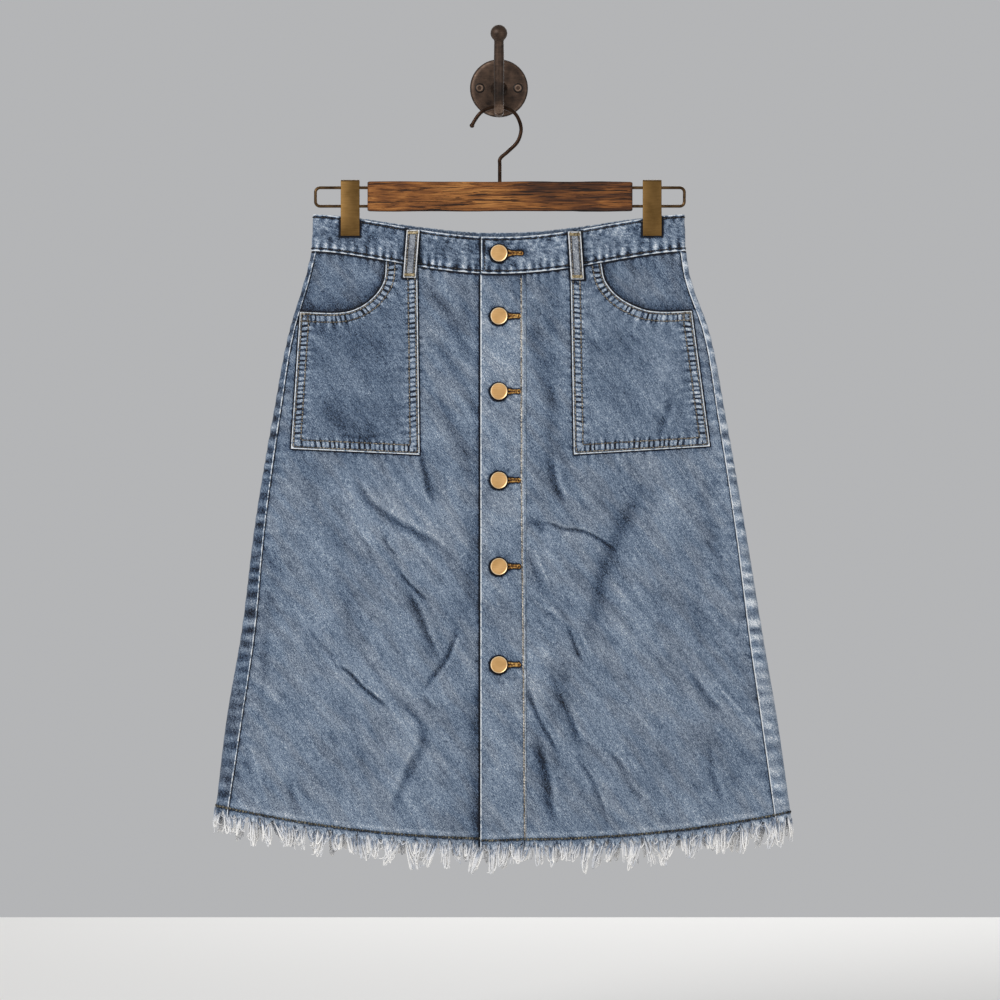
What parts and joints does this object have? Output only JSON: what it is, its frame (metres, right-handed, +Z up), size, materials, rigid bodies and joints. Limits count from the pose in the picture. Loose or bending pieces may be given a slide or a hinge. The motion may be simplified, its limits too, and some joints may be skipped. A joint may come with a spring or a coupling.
{
  "type": "denim skirt on clip hanger and wall hook",
  "caption": "A-line button-front denim skirt with patch pockets, belt loops and a frayed hem, held flat by a clip hanger on a wall hook.",
  "frame": {"origin": "middle of the wall plate's back face, on the wall, where the wall holds the part", "axes": "+X to the viewer's right, +Z up, and -Y out of the wall towards the viewer, who sees the skirt's front; +Y runs into the wall"},
  "size_m": [0.5625, 0.0661, 0.8288],
  "materials": {
    "denim": "washed blue twill, worn pale at the edges",
    "frayed_thread": "loose bleached cotton threads",
    "brass": "satin turned brass",
    "aged_brass": "brushed, aged",
    "bronze_wire": "dark oiled wire",
    "cast_iron": "dark, lightly worn",
    "dark_wood": "rough dark stained softwood"
  },
  "bodies": {
    "root": {"waistband": "denim", "front_right_panel": "denim", "front_left_panel": "denim", "placket": "denim", "back_panel": "denim", "pocket_right": "denim", "pocket_left": "denim", "belt_loop_front_right": "denim", "belt_loop_front_left": "denim", "belt_loop_back_right": "denim", "belt_loop_back_centre": "denim", "belt_loop_back_left": "denim", "button_1": "brass", "button_2": "brass", "button_3": "brass", "button_4": "brass", "button_5": "brass", "button_6": "brass", "fringe_front_right": "frayed_thread", "fringe_front_left": "frayed_thread", "fringe_back": "frayed_thread", "hanger_bar": "dark_wood", "hanger_wire_right": "bronze_wire", "hanger_wire_left": "bronze_wire", "hanger_hook": "bronze_wire", "hanger_clip_right": "aged_brass", "hanger_clip_left": "aged_brass", "wall_hook_plate": "cast_iron", "wall_hook_prong": "cast_iron", "wall_screw_right": "cast_iron", "wall_screw_left": "cast_iron"}
  },
  "joints": []
}
